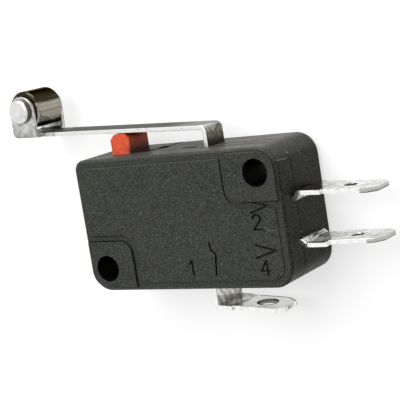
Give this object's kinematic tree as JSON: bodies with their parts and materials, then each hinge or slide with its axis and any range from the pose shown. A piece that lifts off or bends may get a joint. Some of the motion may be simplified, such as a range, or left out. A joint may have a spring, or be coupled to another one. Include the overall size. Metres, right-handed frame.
{
  "type": "lever micro switch",
  "caption": "Snap-action micro switch: a hinged lever with a roller presses the plunger of a flat moulded case with blade terminals.",
  "frame": {"origin": "axis of the lower left mounting hole at the face of the back pads", "axes": "+X along the case towards the two end terminals, +Y towards the plunger and lever, +Z out of the front cover"},
  "size_m": [0.0481, 0.0283, 0.0103],
  "materials": {
    "case_plastic": "fine-grained moulded phenolic, slightly glossy on the edges",
    "plunger_plastic": "smooth moulded",
    "lever_steel": "rolled stainless sheet",
    "roller_steel": "turned, polished",
    "rivet_steel": "formed head, satin",
    "tinned_brass": "bright tin plate over brass",
    "contact_silver": "silver alloy face on a copper alloy rivet",
    "spring_bronze": "rolled copper alloy strip",
    "spring_steel": "drawn spring wire"
  },
  "bodies": {
    "case": {"base_case": "case_plastic", "front_cover": "case_plastic", "com_terminal": "tinned_brass", "nc_terminal": "tinned_brass", "no_terminal": "tinned_brass", "nc_contact": "contact_silver", "no_contact": "contact_silver"},
    "plunger": {"plunger": "plunger_plastic"},
    "lever": {"lever": "lever_steel", "roller_pin": "rivet_steel"},
    "roller": {"roller": "roller_steel"},
    "rocker": {"rocker": "spring_bronze"},
    "blade": {"moving_blade": "spring_bronze", "moving_contact": "contact_silver"},
    "spring": {"snap_spring": "spring_steel"}
  },
  "joints": [
    {"name": "lever_pivot", "type": "hinge", "parent": "case", "child": "lever", "pos_m": [0.01435, 0.0112, 0.00515], "axis": [0, 0, 1], "range_deg": [0, 6.2], "stiffness_Nm_per_rad": 0.1, "springref_deg": -11.46},
    {"name": "roller_spin", "type": "hinge", "parent": "lever", "child": "roller", "pos_m": [-0.01093, 0.01953, 0.00515], "axis": [0, 0, 1], "continuous": true},
    {"name": "plunger_slide", "type": "slide", "parent": "case", "child": "plunger", "axis": [0, -1, 0], "range_m": [0, 0.00128]},
    {"name": "rocker_pivot", "type": "hinge", "parent": "case", "child": "rocker", "pos_m": [-0.00035, 0.00655, 0.00515], "axis": [0, 0, 1], "range_deg": [-19.9, 0]},
    {"name": "blade_pivot", "type": "hinge", "parent": "case", "child": "blade", "pos_m": [0.00626, 0.00475, 0.00515], "axis": [0, 0, 1], "range_deg": [-3.65, 0]},
    {"name": "spring_swing", "type": "hinge", "parent": "blade", "child": "spring", "pos_m": [0.01579, 0.00475, 0.00515], "axis": [0, 0, 1], "range_deg": [0, 10.7], "deforming": ["snap_spring"]}
  ],
  "couplings": [
    {"joint": "plunger_slide", "follows": "lever_pivot", "m_per_rad": 0.01175},
    {"joint": "rocker_pivot", "follows": "lever_pivot", "ratio": -3.2},
    {"joint": "blade_pivot", "follows": "lever_pivot", "ratio": -0.58},
    {"joint": "spring_swing", "follows": "lever_pivot", "ratio": 1.71}
  ]
}
